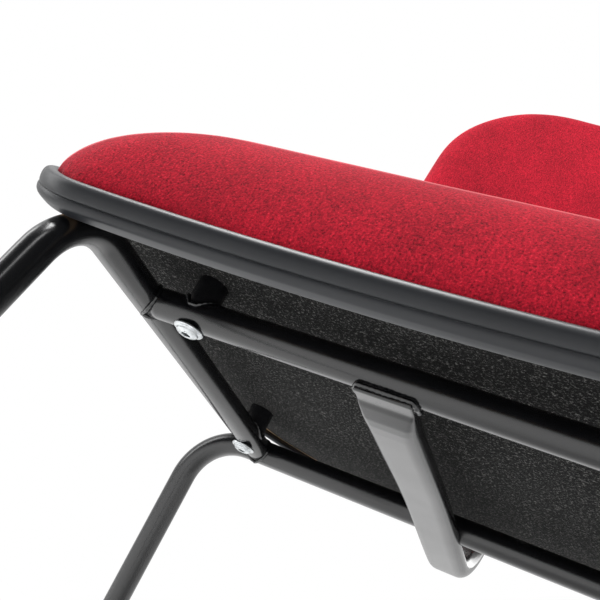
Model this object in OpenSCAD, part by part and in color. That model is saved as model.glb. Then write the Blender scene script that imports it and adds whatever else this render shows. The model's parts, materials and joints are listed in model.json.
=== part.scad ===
// Four-leg stacking musician's chair: a padded seat and back on a welded round-tube frame.
// The chair faces -Y, +X is to the right of someone looking at its front, and +Z is up.
// The origin is on the floor, under the middle of the chair's overall width and depth.

/* [Frame] */
// Outer diameter of the leg, rail and cross tubes
tube_d = 18; // [16:0.5:20]
// Wall thickness of all the tubes
tube_wall = 2; // [1.5:0.1:2.5]
// Height of the seat frame's centre plane above the floor
frame_z = 385; // [340:5:420]
// Front cross tube's place along Y, which puts the origin under the middle of the depth
front_cross_y = -126.3; // [-150:0.1:-100]
// Distance between the front and rear cross tubes
cross_gap = 222; // [200:1:240]
// Distance of each side rail from the middle plane
rail_x = 149; // [135:1:160]

/* [Front legs] */
// Distance from the front cross tube forward to the start of the leg bend
front_lead = 56; // [50:1:58]
// Centre-line radius of the front leg bend
front_bend_r = 36.5; // [30:0.5:40]
// Forward splay, as run over drop
front_fore = 0.15; // [0.05:0.01:0.2]
// Outward splay, as run over drop
front_out = 0.066; // [0:0.002:0.12]

/* [Rear legs] */
// Distance from the middle plane to the start of the rear leg bend
rear_lead = 158; // [150:1:165]
// Centre-line radius of the rear leg bend
rear_bend_r = 47; // [40:1:55]
// Backward splay, as run over drop
rear_aft = 0.32; // [0.2:0.01:0.4]
// Outward splay, as run over drop
rear_out = 0.165; // [0.05:0.005:0.2]

/* [Foot glides] */
// Outer diameter of a glide
glide_d = 24; // [22:1:28]
// Length of a glide along its leg
glide_len = 30; // [24:1:40]

/* [Seat] */
// Half the width of the seat board near its front
seat_front_x = 195.5; // [185:1:205]
// Half the width of the seat board at its rear
seat_rear_x = 188; // [175:1:195]
// Distance from the front cross tube forward to the board's front edge
seat_fore = 97; // [95:1:105]
// Distance from the front cross tube back to the board's rear edge
seat_aft = 307; // [300:1:315]
// Corner radius of the board at the front
seat_front_r = 54; // [30:1:60]
// Corner radius of the board at the rear
seat_rear_r = 130; // [110:1:140]
// Dishing radius of the board across its width
dish_r = 2400; // [2000:50:4000]
// Dishing radius of the board along its depth
dish_long_r = 2500; // [2000:50:4000]
// Radius of the board's downturned front
fall_r = 113; // [105:1:140]
// Thickness of the seat and back boards
board_t = 9; // [8:0.5:11]
// Height of the board's lowest point above the frame's centre plane
seat_lift = 16.3; // [15:0.1:20]
// Height of the crown of the seat pad above the frame's centre plane
seat_crown = 82; // [75:1:95]

/* [Seat fixing] */
// Distance of the front seat bolts from the middle plane
front_bolt_x = 117; // [105:1:125]
// Distance from the front cross tube back to the rear seat bolts
rear_bolt_y = 191; // [180:1:200]

/* [Back support] */
// Width of the flat-oval tube that carries the back
spine_w = 30; // [28:0.5:30]
// Thickness of that flat-oval tube
spine_t = 15; // [14:0.5:16]
// Centre-line radius of its bend behind the seat
spine_bend_r = 60; // [50:1:70]
// Backward lean of the back, in degrees from vertical
back_tilt = 10; // [6:1:14]
// Length of the upright from the end of the bend to its top
spine_up = 390; // [370:5:400]

/* [Back] */
// Half the width of the back board
back_x = 177; // [165:1:195]
// Height of the back board
back_h = 291; // [280:1:320]
// Top corner radius of the back board
back_top_r = 118; // [80:1:130]
// Bottom corner radius of the back board
back_low_r = 70; // [50:1:90]
// Horizontal curvature radius of the back board's rear face
back_curve_r = 650; // [550:10:900]
// Thickness of the back pad at its crown
back_pad = 42; // [35:1:50]

/* [Fasteners] */
// Thread diameter of the seat bolts
seat_bolt_d = 8; // [6:1:8]
// Thread diameter of the back bolts
back_bolt_d = 6; // [5:1:6]
// Flange diameter of a seat bolt's button head
seat_head_d = 17.5; // [14:0.1:17.8]
// Flange diameter of a back bolt's button head
back_head_d = 13.6; // [12:0.1:14]

/* [Hidden] */
$fn = 96;
eps = 0.01;
// Overlap of a straight length with the bend before it, and how much thinner its wall is there
lap = 0.5;
lap_skin = 0.1;
big = 400;
rear_cross_y = front_cross_y + cross_gap;
tube_r = tube_d / 2;
bore_r = tube_r - tube_wall;
// Clearances between neighbouring pieces
fit_gap = 0.1;
bolt_clear = 0.3;
// Leg directions, as drop and run vectors, their bend angles and bend planes
front_dir = [front_out, -front_fore, -1];
rear_dir = [rear_out, rear_aft, -1];
front_angle = acos(front_fore / norm(front_dir));
rear_angle = acos(rear_out / norm(rear_dir));
front_roll = atan(front_out);
rear_roll = atan(rear_aft);
// Height of each leg tube's cut end above the floor, inside its glide
leg_end_z = 8;
// Underside of the seat along its depth: lowest place, start of the downturned front and steps
dish_y = front_cross_y + 100;
fall_y = front_cross_y - 20;
seat_far_y = front_cross_y + 340;
seat_near_y = front_cross_y - 104;
fall_steps = 10;
dish_steps = 8;
dish_axis_z = frame_z + seat_lift + dish_r;
dish_half_angle = 6;
cloth_t = 0.8;
band_out = 4.5;
band_drop = 4.6;
band_rise = 1.5;
// How far the rear edge bows out, and how fast the pad's corners ease as it draws in
rear_bow = 8;
pad_ease = 1.35;
// Seat bolts: [x, y, length] at the frame's centre plane
seat_bolts_at = [
    [-front_bolt_x, front_cross_y, 35],
    [front_bolt_x, front_cross_y, 35],
    [-rail_x, front_cross_y + rear_bolt_y, 38],
    [rail_x, front_cross_y + rear_bolt_y, 38]
];
// Depth of the flat pressed into a tube under a bolt head
press_depth = 0.4;
sleeve_bore_r = seat_bolt_d / 2 + 0.6;
tee_flange_d = 22;
tee_flange_t = 1.5;
tee_barrel_r = 5;
tee_sink = 1.6;
// Back support: its flattened front end, its level run and the foot of its upright
flat_w = 31;
flat_t = 4.4;
flat_len = 8;
ramp_len = 5;
solid_len = 20;
spine_z = frame_z - tube_r - flat_t / 2 + 0.8;
bend_angle = 90 - back_tilt;
upright_foot_y = front_cross_y + 335;
upright_foot_z = spine_z + spine_bend_r * (1 - cos(bend_angle));
bend_start_y = upright_foot_y - spine_bend_r * sin(bend_angle);
// Back board in the upright's own frame: across, up the upright, and rearward from its axis
plate_w = 110;
plate_h = 80;
plate_t = 3;
plate_up = 340;
board_rear = -spine_t / 2 - plate_t;
back_mid_up = 313.5;
back_bolt_dx = 38;
back_bolt_dv = 25;
back_bolt_len = 12;
back_band_out = 2.5;
rear_panel_t = 2;

// ---------- shared shapes ----------

// A hollow or solid straight length along +X from a to b
module run_x(a, b, r_out, r_in) {
    translate([a, 0, 0]) rotate([0, 90, 0]) difference() {
        cylinder(r = r_out, h = b - a);
        if (r_in > 0) translate([0, 0, -1]) cylinder(r = r_in, h = b - a + 2);
    }
}

// A bend that arrives at the origin along +X and turns down by an angle
module bend_down(radius, angle, r_out, r_in) {
    translate([0, 0, -radius]) rotate([-90, -90, 0]) rotate_extrude(angle = angle)
        translate([radius, 0]) difference() {
            circle(r = r_out);
            if (r_in > 0) circle(r = r_in);
        }
}

// Moves its children to the end of that bend, with +X along the outgoing direction
module after_bend(radius, angle) {
    translate([radius * sin(angle), 0, -radius * (1 - cos(angle))]) rotate([0, angle, 0])
        children();
}

// A straight length from the end of one bend, reaching a little way into the bend's own wall
module leg_run(len) {
    run_x(-lap, len, tube_r - lap_skin, bore_r + lap_skin);
}

// Straight length after a bend that brings the axis down to a height above the floor
function leg_len(radius, angle, roll, low_z) =
    (frame_z - low_z - radius * (1 - cos(angle)) * cos(roll)) / (sin(angle) * cos(roll));

module mirror_left(left) {
    if (left) mirror([1, 0, 0]) children();
    else children();
}

module at_front_bend() {
    translate([rail_x, front_cross_y - front_lead, frame_z])
        rotate([0, 0, -90]) rotate([front_roll, 0, 0]) children();
}

module at_rear_bend() {
    translate([rear_lead, rear_cross_y, frame_z]) rotate([rear_roll, 0, 0]) children();
}

// A long solid across the frame at a cross tube, for coping and notching
module cross_solid(y, r) {
    translate([-big, y, frame_z]) run_x(0, 2 * big, r, 0);
}

module rail_solid(side, r) {
    translate([side * rail_x, front_cross_y - front_lead, frame_z]) rotate([0, 0, 90])
        run_x(0, cross_gap + front_lead, r, 0);
}

// ---------- welded frame ----------

module bolt_hole(at) {
    translate([at[0], at[1], frame_z]) {
        translate([0, 0, -tube_d]) cylinder(r = seat_bolt_d / 2 + bolt_clear, h = 2 * tube_d);
        translate([0, 0, -tube_d - tube_r + press_depth])
            cylinder(r = seat_head_d / 2 + bolt_clear, h = tube_d);
    }
}

module front_leg_rail(left) {
    color("#16171a") difference() {
        mirror_left(left) at_front_bend() {
            run_x(-(cross_gap + front_lead), 0, tube_r, bore_r);
            bend_down(front_bend_r, front_angle, tube_r, bore_r);
            after_bend(front_bend_r, front_angle)
                leg_run(leg_len(front_bend_r, front_angle, front_roll, leg_end_z));
        }
        cross_solid(rear_cross_y, tube_r);
        bolt_hole(seat_bolts_at[left ? 2 : 3]);
    }
}

module front_cross_tube() {
    color("#16171a") difference() {
        translate([0, front_cross_y, frame_z]) run_x(-rail_x, rail_x, tube_r, bore_r);
        rail_solid(-1, tube_r);
        rail_solid(1, tube_r);
        bolt_hole(seat_bolts_at[0]);
        bolt_hole(seat_bolts_at[1]);
    }
}

module rear_leg_frame() {
    color("#16171a") {
        translate([-rear_lead, rear_cross_y, frame_z]) leg_run(2 * rear_lead + lap);
        for (left = [false, true]) mirror_left(left) at_rear_bend() {
            bend_down(rear_bend_r, rear_angle, tube_r, bore_r);
            after_bend(rear_bend_r, rear_angle)
                leg_run(leg_len(rear_bend_r, rear_angle, rear_roll, leg_end_z));
        }
    }
}

// A spacer between a frame tube and the dished board, cut square to the board
module sleeve(at, along_rail) {
    lean_x = asin(at[0] / dish_r);
    lean_y = asin((at[1] - dish_y) / dish_long_r);
    color("#101012") difference() {
        translate([at[0], at[1], frame_z]) cylinder(r = tube_r, h = 2 * tube_d);
        translate([at[0], at[1], frame_z - 1]) cylinder(r = sleeve_bore_r, h = 3 * tube_d);
        if (along_rail) rail_solid(sign(at[0]), tube_r);
        else cross_solid(front_cross_y, tube_r);
        translate([at[0], at[1], underside_z(at[0], at[1]) - fit_gap]) rotate([lean_y, -lean_x, 0])
            translate([-tube_d, -tube_d, 0]) cube([2 * tube_d, 2 * tube_d, 2 * tube_d]);
    }
}

// ---------- back support ----------

module along_y(y, z) {
    translate([0, y, z]) rotate([0, 0, 90]) children();
}

// Moves its children into the upright's frame: +Z up the upright, +Y rearward from its axis
module at_upright() {
    translate([0, upright_foot_y, upright_foot_z]) rotate([-back_tilt, 0, 0]) children();
}

// Section of the flat-oval tube: two flat faces between round sides
module oval(inset) {
    round_d = spine_t - 2 * inset;
    square([spine_w - spine_t, round_d], center = true);
    for (side = [-1, 1]) translate([side * (spine_w - spine_t) / 2, 0]) circle(d = round_d);
}

// The level run and the bend of the oval tube, as a solid drawn in by an inset
module oval_run_and_bend(start_y, inset) {
    along_y(start_y, spine_z) rotate([90, 0, 90]) linear_extrude(bend_start_y - start_y) oval(inset);
    along_y(bend_start_y, spine_z) translate([0, 0, spine_bend_r]) rotate([90, 0, 0])
        rotate([0, 0, -90]) rotate_extrude(angle = bend_angle)
            translate([spine_bend_r, 0]) rotate([0, 0, 90]) oval(inset);
}

module back_spine() {
    flare_end_y = front_cross_y + flat_len + ramp_len;
    hollow_y = flare_end_y + solid_len;
    color("#1a1b1e") difference() {
        union() {
            // Flattened end under the front cross tube
            translate([-flat_w / 2, front_cross_y - 2, spine_z - flat_t / 2])
                cube([flat_w, flat_len + 3, flat_t]);
            // Flare from the flattened end to the full tube
            hull() {
                translate([-flat_w / 2 + 0.1, flare_end_y - ramp_len, spine_z - flat_t / 2 + 0.1])
                    cube([flat_w - 0.2, 1, flat_t - 0.2]);
                along_y(flare_end_y, spine_z) rotate([90, 0, 90]) linear_extrude(1) oval(0.2);
            }
            oval_run_and_bend(flare_end_y + 0.5, 0);
            at_upright() translate([0, 0, -lap]) linear_extrude(spine_up + lap) oval(lap_skin);
        }
        oval_run_and_bend(hollow_y, tube_wall);
        at_upright() translate([0, 0, -lap]) linear_extrude(spine_up + 1) oval(tube_wall + lap_skin);
        cross_solid(front_cross_y, tube_r);
        cross_solid(rear_cross_y, tube_r);
    }
}

// A slab curved like the back, between two distances from the board's rear face
module back_layer(front, rear) {
    translate([0, board_rear - back_curve_r, -big]) difference() {
        cylinder(r = back_curve_r + rear, h = 3 * big, $fn = 720);
        translate([0, 0, -1]) cylinder(r = back_curve_r + front, h = 3 * big + 2, $fn = 720);
    }
}

module back_bolt_axes() {
    for (side = [-1, 1], level = [-1, 1])
        translate([side * back_bolt_dx, board_rear, plate_up + level * back_bolt_dv])
            rotate([-90, 0, 0]) children();
}

// How far the curved board's rear face has moved forward at the bolts
back_bolt_sag = back_curve_r - sqrt(pow(back_curve_r, 2) - pow(back_bolt_dx, 2));

module back_bracket_plate() {
    color("#1a1b1e") at_upright() difference() {
        intersection() {
            back_layer(0, plate_t);
            translate([-plate_w / 2, -back_curve_r / 2, plate_up - plate_h / 2])
                cube([plate_w, back_curve_r, plate_h]);
        }
        back_bolt_axes() translate([0, 0, -spine_w])
            cylinder(r = back_bolt_d / 2 + bolt_clear, h = 2 * spine_w);
    }
}

module spine_end_plug() {
    color("#0c0c0d") at_upright() {
        translate([0, 0, spine_up - 12]) linear_extrude(12) oval(tube_wall + lap_skin + fit_gap);
        translate([0, 0, spine_up]) linear_extrude(2) oval(0.5);
    }
}

// ---------- seat ----------

// Corner points of a rounded outline: rings of arcs through centre, radius and angle range
function arc(cx, cy, r, a0, a1, steps) =
    [for (i = [0:steps]) [cx + r * cos(a0 + (a1 - a0) * i / steps),
                          cy + r * sin(a0 + (a1 - a0) * i / steps)]];

// Angle by which a seat side closes in towards the rear
side_angle = atan((seat_front_x - seat_rear_x) / (seat_fore + seat_aft));

// The seat's outline, moved outward, with its front corners eased to a larger radius
function seat_outline(grow, ease = 0) =
    let (fr = seat_front_r + ease + grow,
         rr = seat_rear_r + grow,
         fy = front_cross_y - seat_fore + seat_front_r + ease,
         ry = front_cross_y + seat_aft - seat_rear_r,
         fx = seat_front_x - seat_front_r - ease,
         rx = seat_rear_x - seat_rear_r + rear_bow)
    concat(
        arc(rx, ry, rr, side_angle, 84, 12),
        arc(-rx, ry, rr, 96, 180 - side_angle, 12),
        arc(-fx, fy, fr, 180 - side_angle, 268, 8),
        arc(fx, fy, fr, 272, 360 + side_angle, 8));

module seat_prism(grow, low, high) {
    translate([0, 0, low]) linear_extrude(high - low) polygon(seat_outline(grow));
}

// Height of the underside on the middle plane
function middle_z(y) =
    frame_z + seat_lift + pow(max(y, fall_y) - dish_y, 2) / (2 * dish_long_r)
    - (fall_r - sqrt(pow(fall_r, 2) - pow(min(y - fall_y, 0), 2)));

// Height of the underside above the floor at a place
function underside_z(x, y) =
    dish_axis_z - sqrt(pow(dish_axis_z - middle_z(y), 2) - pow(x, 2));

// Places along the depth where the underside's outline has a corner
seat_ys = concat(
    [for (i = [0:fall_steps]) seat_near_y + (fall_y - seat_near_y) * i / fall_steps],
    [for (i = [1:dish_steps]) fall_y + (seat_far_y - fall_y) * i / dish_steps]);

// Everything between two heights over the underside, turned about an axis high over the seat
module dish_sweep(low, high) {
    steps = len(seat_ys) - 1;
    lower = [for (i = [0:steps]) [dish_axis_z - middle_z(seat_ys[i]) - low, seat_ys[i]]];
    upper = [for (i = [0:steps])
        [dish_axis_z - middle_z(seat_ys[steps - i]) - high, seat_ys[steps - i]]];
    translate([0, 0, dish_axis_z]) rotate([-90, 0, 0]) rotate([0, 0, 90 - dish_half_angle])
        rotate_extrude(angle = 2 * dish_half_angle, $fn = 720) polygon(concat(lower, upper));
}

module seat_layer(grow, low, high) {
    intersection() {
        seat_prism(grow, frame_z - 3 * tube_d, frame_z + seat_crown);
        dish_sweep(low, high);
    }
}

module seat_board() {
    color("#8a6a45") difference() {
        seat_layer(0, 0, board_t);
        for (at = seat_bolts_at) {
            translate([at[0], at[1], frame_z]) cylinder(r = tee_barrel_r + fit_gap, h = 3 * tube_d);
            translate([at[0], at[1], underside_z(at[0], at[1]) + board_t - tee_sink])
                cylinder(r = tee_flange_d / 2 + fit_gap, h = tube_d);
        }
    }
}

module seat_underside_cloth() {
    color("#2b2927") difference() {
        seat_layer(-12, -cloth_t, 0);
        for (at = seat_bolts_at)
            translate([at[0], at[1], frame_z]) cylinder(r = tube_r + 1, h = 3 * tube_d);
    }
}

// One outline of the pad, drawn in from the board's edge, with its corners eased as it rises
module pad_slice(grow, inset, z) {
    translate([0, 0, z]) linear_extrude(1)
        polygon(seat_outline(grow - inset, pad_ease * inset));
}

// The pad's outer form, a stack of outlines that draws in towards the crown
module pad_stack(grow) {
    crown_z = frame_z + seat_crown + grow;
    hull() {
        pad_slice(grow, 1.2, frame_z - 2 * tube_d + grow);
        pad_slice(grow, 1.2, crown_z - 62);
        pad_slice(grow, 7, crown_z - 36);
        pad_slice(grow, 21, crown_z - 19);
        pad_slice(grow, 46, crown_z - 8);
        pad_slice(grow, 95, crown_z - 1);
    }
}

module above_board() {
    dish_sweep(board_t + fit_gap, seat_crown + 2 * tube_d);
}

module seat_foam() {
    color("#d8cf9a") intersection() {
        pad_stack(-1.5);
        above_board();
    }
}

module seat_cover() {
    color("#b02033") difference() {
        intersection() {
            pad_stack(fit_gap);
            above_board();
        }
        pad_stack(-1.3);
    }
}

module seat_edge_band() {
    color("#2c2d30") difference() {
        seat_layer(band_out, -band_drop, board_t + band_rise);
        seat_prism(fit_gap, frame_z - 4 * tube_d, frame_z + seat_crown);
    }
}

// A flanged button-head bolt, head downwards, with its flange face at the origin
module button_bolt(d, head_d, len) {
    difference() {
        union() {
            cylinder(r = d / 2, h = len);
            rotate_extrude() polygon([
                [0, 0], [head_d / 2, 0], [head_d / 2, -0.08 * head_d], [0.39 * head_d, -0.1 * head_d],
                [0.36 * head_d, -0.17 * head_d], [0.28 * head_d, -0.22 * head_d],
                [0.18 * head_d, -0.25 * head_d], [0, -0.25 * head_d]
            ]);
        }
        translate([0, 0, -head_d]) cylinder(r = 0.36 * d, h = 0.92 * head_d, $fn = 6);
    }
}

module seat_bolts() {
    color("#c9ccd2") for (at = seat_bolts_at)
        translate([at[0], at[1], frame_z - tube_r + press_depth])
            button_bolt(seat_bolt_d, seat_head_d, at[2]);
}

module tee_nut(bolt_r, barrel_r, flange_r, depth) {
    difference() {
        union() {
            cylinder(r = flange_r, h = tee_flange_t);
            translate([0, 0, -depth]) cylinder(r = barrel_r, h = depth + eps);
        }
        translate([0, 0, -depth - 1]) cylinder(r = bolt_r + fit_gap / 2, h = depth + 4);
    }
}

module seat_tee_nuts() {
    color("#c9ccd2") for (at = seat_bolts_at)
        translate([at[0], at[1], underside_z(at[0], at[1]) + board_t - tee_sink])
            tee_nut(seat_bolt_d / 2, tee_barrel_r, tee_flange_d / 2, board_t - tee_sink - 1);
}

// ---------- back ----------

function back_outline(grow) =
    let (tr = back_top_r + grow,
         lr = back_low_r + grow,
         top = back_mid_up + back_h / 2 - back_top_r,
         low = back_mid_up - back_h / 2 + back_low_r)
    concat(
        arc(back_x - back_top_r, top, tr, 0, 88, 14),
        arc(-(back_x - back_top_r), top, tr, 92, 180, 14),
        arc(-(back_x - back_low_r), low, lr, 180, 268, 10),
        arc(back_x - back_low_r, low, lr, 272, 360, 10));

// An outline of the back, standing up and thick from a forward to a rearward distance
module back_prism(grow, front, rear) {
    translate([0, board_rear + rear, 0]) rotate([90, 0, 0])
        linear_extrude(rear - front) polygon(back_outline(grow));
}

module back_sheet(grow, front, rear) {
    intersection() {
        back_layer(front, rear);
        back_prism(grow, -back_curve_r / 4, 2 * spine_w);
    }
}

module back_board() {
    color("#8a6a45") at_upright() difference() {
        back_sheet(0, -board_t, 0);
        back_bolt_axes() translate([0, 0, -2 * spine_w])
            cylinder(r = tee_barrel_r - 1 + fit_gap, h = 3 * spine_w);
        back_bolt_axes() translate([0, 0, -back_bolt_sag - board_t + tee_sink - spine_w])
            cylinder(r = tee_flange_d / 2 - 2 + fit_gap, h = spine_w);
    }
}

module back_rear_panel() {
    color("#232427") at_upright() difference() {
        back_sheet(-6, fit_gap, rear_panel_t);
        translate([-plate_w / 2 - 1, -spine_w, plate_up - plate_h / 2 - 1])
            cube([plate_w + 2, 2 * spine_w, plate_h + 2]);
        linear_extrude(spine_up + 5) oval(-1);
    }
}

module back_pad_form(grow) {
    crown = -board_t - back_pad - grow;
    intersection() {
        hull() {
            back_prism(2 + grow, -board_t - 34, 0);
            back_prism(-8 + grow, crown + 8, crown + 9);
            back_prism(-45 + grow, crown, crown + 1);
        }
        back_layer(-back_curve_r / 4, -board_t - fit_gap);
    }
}

module back_foam() {
    color("#d8cf9a") at_upright() back_pad_form(-1.5);
}

module back_cover() {
    color("#b02033") at_upright() difference() {
        back_pad_form(0);
        back_pad_form(-1.4);
    }
}

module back_edge_band() {
    color("#2c2d30") at_upright() difference() {
        back_sheet(back_band_out, -board_t, band_drop);
        back_prism(fit_gap, -back_curve_r / 2, 3 * spine_w);
    }
}

module back_bolts() {
    color("#c9ccd2") at_upright() back_bolt_axes()
        translate([0, 0, plate_t - back_bolt_sag + fit_gap]) rotate([180, 0, 0])
            button_bolt(back_bolt_d, back_head_d, back_bolt_len);
}

module back_tee_nuts() {
    color("#c9ccd2") at_upright() back_bolt_axes()
        translate([0, 0, -back_bolt_sag - board_t + tee_sink]) rotate([180, 0, 0])
            tee_nut(back_bolt_d / 2, tee_barrel_r - 1, tee_flange_d / 2 - 2, board_t - tee_sink - 1);
}

// ---------- feet ----------

module glide_form(radius, angle, roll) {
    reach = leg_len(radius, angle, roll, leg_end_z);
    after_bend(radius, angle) difference() {
        run_x(reach - glide_len, reach + 2 * tube_d, glide_d / 2, 0);
        run_x(reach - 2 * glide_len, reach + fit_gap, tube_r + fit_gap, 0);
    }
}

module above_floor() {
    translate([-big, -big, 0]) cube([2 * big, 2 * big, big]);
}

module front_glide(left) {
    color("#0c0c0d") intersection() {
        mirror_left(left) at_front_bend() glide_form(front_bend_r, front_angle, front_roll);
        above_floor();
    }
}

module rear_glide(left) {
    color("#0c0c0d") intersection() {
        mirror_left(left) at_rear_bend() glide_form(rear_bend_r, rear_angle, rear_roll);
        above_floor();
    }
}

front_leg_rail(true);  // left_front_leg_rail
front_leg_rail(false);  // right_front_leg_rail
front_cross_tube();
rear_leg_frame();
back_spine();
back_bracket_plate();
spine_end_plug();
sleeve(seat_bolts_at[0], false);  // front_left_sleeve
sleeve(seat_bolts_at[1], false);  // front_right_sleeve
sleeve(seat_bolts_at[2], true);  // rear_left_sleeve
sleeve(seat_bolts_at[3], true);  // rear_right_sleeve
seat_board();
seat_underside_cloth();
seat_foam();
seat_cover();
seat_edge_band();
seat_bolts();
seat_tee_nuts();
back_board();
back_rear_panel();
back_foam();
back_cover();
back_edge_band();
back_bolts();
back_tee_nuts();
front_glide(true);  // front_left_glide
front_glide(false);  // front_right_glide
rear_glide(true);  // rear_left_glide
rear_glide(false);  // rear_right_glide
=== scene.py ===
"""Looks of a padded four-leg stacking musician's chair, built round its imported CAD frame."""

import json
import math
import random

import bmesh
import bpy
import numpy
from mathutils import Matrix, Vector

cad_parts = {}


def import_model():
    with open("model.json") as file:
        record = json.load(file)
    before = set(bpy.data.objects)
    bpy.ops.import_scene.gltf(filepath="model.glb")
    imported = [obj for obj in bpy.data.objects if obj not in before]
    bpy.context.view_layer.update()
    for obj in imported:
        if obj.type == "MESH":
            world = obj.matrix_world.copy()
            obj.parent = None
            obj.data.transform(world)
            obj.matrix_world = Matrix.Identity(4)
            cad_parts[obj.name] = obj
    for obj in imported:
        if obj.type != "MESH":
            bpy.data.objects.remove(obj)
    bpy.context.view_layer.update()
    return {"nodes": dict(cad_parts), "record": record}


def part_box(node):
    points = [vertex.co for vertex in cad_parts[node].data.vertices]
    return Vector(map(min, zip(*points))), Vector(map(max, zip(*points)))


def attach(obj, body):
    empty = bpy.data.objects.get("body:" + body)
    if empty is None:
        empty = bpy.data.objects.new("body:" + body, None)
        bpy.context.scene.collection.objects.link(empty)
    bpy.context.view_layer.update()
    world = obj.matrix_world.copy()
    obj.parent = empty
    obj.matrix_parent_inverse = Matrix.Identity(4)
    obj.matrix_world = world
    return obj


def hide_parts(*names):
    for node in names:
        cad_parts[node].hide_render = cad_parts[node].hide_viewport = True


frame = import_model()

MM = 0.001
ROOT = "root"
QUARTER = math.pi / 2
FULL = 2 * math.pi


# ---------- places taken from the CAD frame ----------


def middle(node):
    low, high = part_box(node)
    return (low + high) / 2


def size_of(node):
    low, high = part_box(node)
    return high - low


CROSS = middle("front_cross_tube")
CROSS_Y, FRAME_Z = CROSS.y, CROSS.z
TUBE_R = size_of("front_cross_tube").z / 2
REAR_Y = CROSS_Y + 222 * MM
RAIL_X = 149 * MM
# Height of the leg tubes' cut ends, inside their glides
LEG_END_Z = 8 * MM

# The bent legs
TUBE_SIDES = 48
FRONT_LEAD, FRONT_BEND_R = 56 * MM, 36.5 * MM
FRONT_DIR = Vector((0.066, -0.15, -1)).normalized()
REAR_LEAD, REAR_BEND_R = 158 * MM, 47 * MM
REAR_DIR = Vector((0.165, 0.32, -1)).normalized()

# The seat
SEAT_FRONT_X, SEAT_REAR_X = 195.5 * MM, 188 * MM
SEAT_FORE, SEAT_AFT = 97 * MM, 307 * MM
SEAT_FRONT_R, SEAT_REAR_R = 54 * MM, 130 * MM
REAR_EDGE_BOW = 8 * MM
DISH_R, DISH_LONG_R, FALL_R = 2400 * MM, 2500 * MM, 113 * MM
BOARD_T = 9 * MM
SEAT_LIFT = 16.3 * MM
DISH_Y = CROSS_Y + 100 * MM
FALL_Y = CROSS_Y - 20 * MM
DISH_AXIS_Z = FRAME_Z + SEAT_LIFT + DISH_R
SEAT_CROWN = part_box("seat_cover")[1].z
PAD_EASE = 1.35

# The spacer sleeves, each with a seat bolt through it
SLEEVES = ("front_left_sleeve", "front_right_sleeve", "rear_left_sleeve", "rear_right_sleeve")

# Bolts: how deep a flange sits in its tube, how far a seat bolt is turned in radians for each
# metre from the chair's middle, and the radii of flanges, hex sockets and the sleeves' bores
PRESS_DEPTH = 0.4 * MM
SOCKET_TURN = 9
SEAT_BOLT_R, SEAT_SOCKET_R = 8.75 * MM, 2.9 * MM
BACK_BOLT_R, BACK_SOCKET_R = 6.8 * MM, 2.2 * MM
SLEEVE_BORE_R = 4.6 * MM

# The back support and the back
SPINE_HALF_W, SPINE_HALF_T = 15 * MM, 7.5 * MM
SPINE_Z = FRAME_Z - TUBE_R - 1.4 * MM
SPINE_BEND_R = 60 * MM
BACK_TILT = math.radians(10)
UPRIGHT_Y = CROSS_Y + 335 * MM
SPINE_UP = 390 * MM
BEND_ANGLE = QUARTER - BACK_TILT
UPRIGHT_Z = SPINE_Z + SPINE_BEND_R * (1 - math.cos(BEND_ANGLE))
# The level run is bowed up by this much between these distances from the cross tube
SPINE_RISE = 2.5 * MM
RISE_START, RISE_TOP = 20 * MM, 150 * MM
PLATE_T = 3 * MM
PLATE_UP = 340 * MM
PLATE_W, PLATE_H, PLATE_CORNER_R = 110 * MM, 80 * MM, 8 * MM
BOARD_REAR = -SPINE_HALF_T - PLATE_T
BACK_CURVE_R = 650 * MM
BACK_X, BACK_H = 177 * MM, 291 * MM
BACK_TOP_R, BACK_LOW_R = 118 * MM, 70 * MM
BACK_MID_UP = 313.5 * MM
BACK_BOLT_DX, BACK_BOLT_DV = 38 * MM, 25 * MM


# ---------- mesh helpers ----------


def new_object(name, verts, faces, material):
    mesh = bpy.data.meshes.new(name)
    mesh.from_pydata([tuple(v) for v in verts], [], faces)
    mesh.validate()
    mesh.update()
    obj = bpy.data.objects.new(name, mesh)
    bpy.context.scene.collection.objects.link(obj)
    for poly in mesh.polygons:
        poly.use_smooth = True
    mesh.materials.append(material)
    bm = bmesh.new()
    bm.from_mesh(mesh)
    bmesh.ops.remove_doubles(bm, verts=bm.verts, dist=1e-6)
    bmesh.ops.recalc_face_normals(bm, faces=bm.faces)
    bm.to_mesh(mesh)
    bm.free()
    return obj


def sharpen(obj, degrees=35):
    """Keeps edges crisper than this angle sharp under smooth shading."""
    bm = bmesh.new()
    bm.from_mesh(obj.data)
    limit = math.radians(degrees)
    for edge in bm.edges:
        if len(edge.link_faces) == 2 and edge.calc_face_angle() > limit:
            edge.smooth = False
    bm.to_mesh(obj.data)
    bm.free()
    return obj


def bridge(rings, close_path=False, cap_start=True):
    """Vertices and faces of a skin over rings of equal length."""
    n = len(rings[0])
    verts = [p for ring in rings for p in ring]
    faces = []
    spans = len(rings) if close_path else len(rings) - 1
    for i in range(spans):
        a, b = i * n, ((i + 1) % len(rings)) * n
        for j in range(n):
            k = (j + 1) % n
            faces.append((a + j, a + k, b + k, b + j))
    if not close_path:
        if cap_start:
            faces.append(tuple(reversed(range(n))))
        faces.append(tuple(range((len(rings) - 1) * n, len(rings) * n)))
    return verts, faces


def path_frames(path, first_normal, closed=False):
    """A normal and binormal at each path point that turn as little as possible."""
    tangents = []
    count = len(path)
    for i in range(count):
        if closed:
            t = path[(i + 1) % count] - path[i - 1]
        else:
            t = path[min(i + 1, count - 1)] - path[max(i - 1, 0)]
        tangents.append(t.normalized())
    normal = first_normal - tangents[0] * first_normal.dot(tangents[0])
    normal.normalize()
    frames = []
    for t in tangents:
        normal = (normal - t * normal.dot(t)).normalized()
        frames.append((normal.copy(), t.cross(normal)))
    return frames


def circle(radius, count):
    turns = [FULL * i / count for i in range(count)]
    return [(radius * math.cos(a), radius * math.sin(a)) for a in turns]


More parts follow.
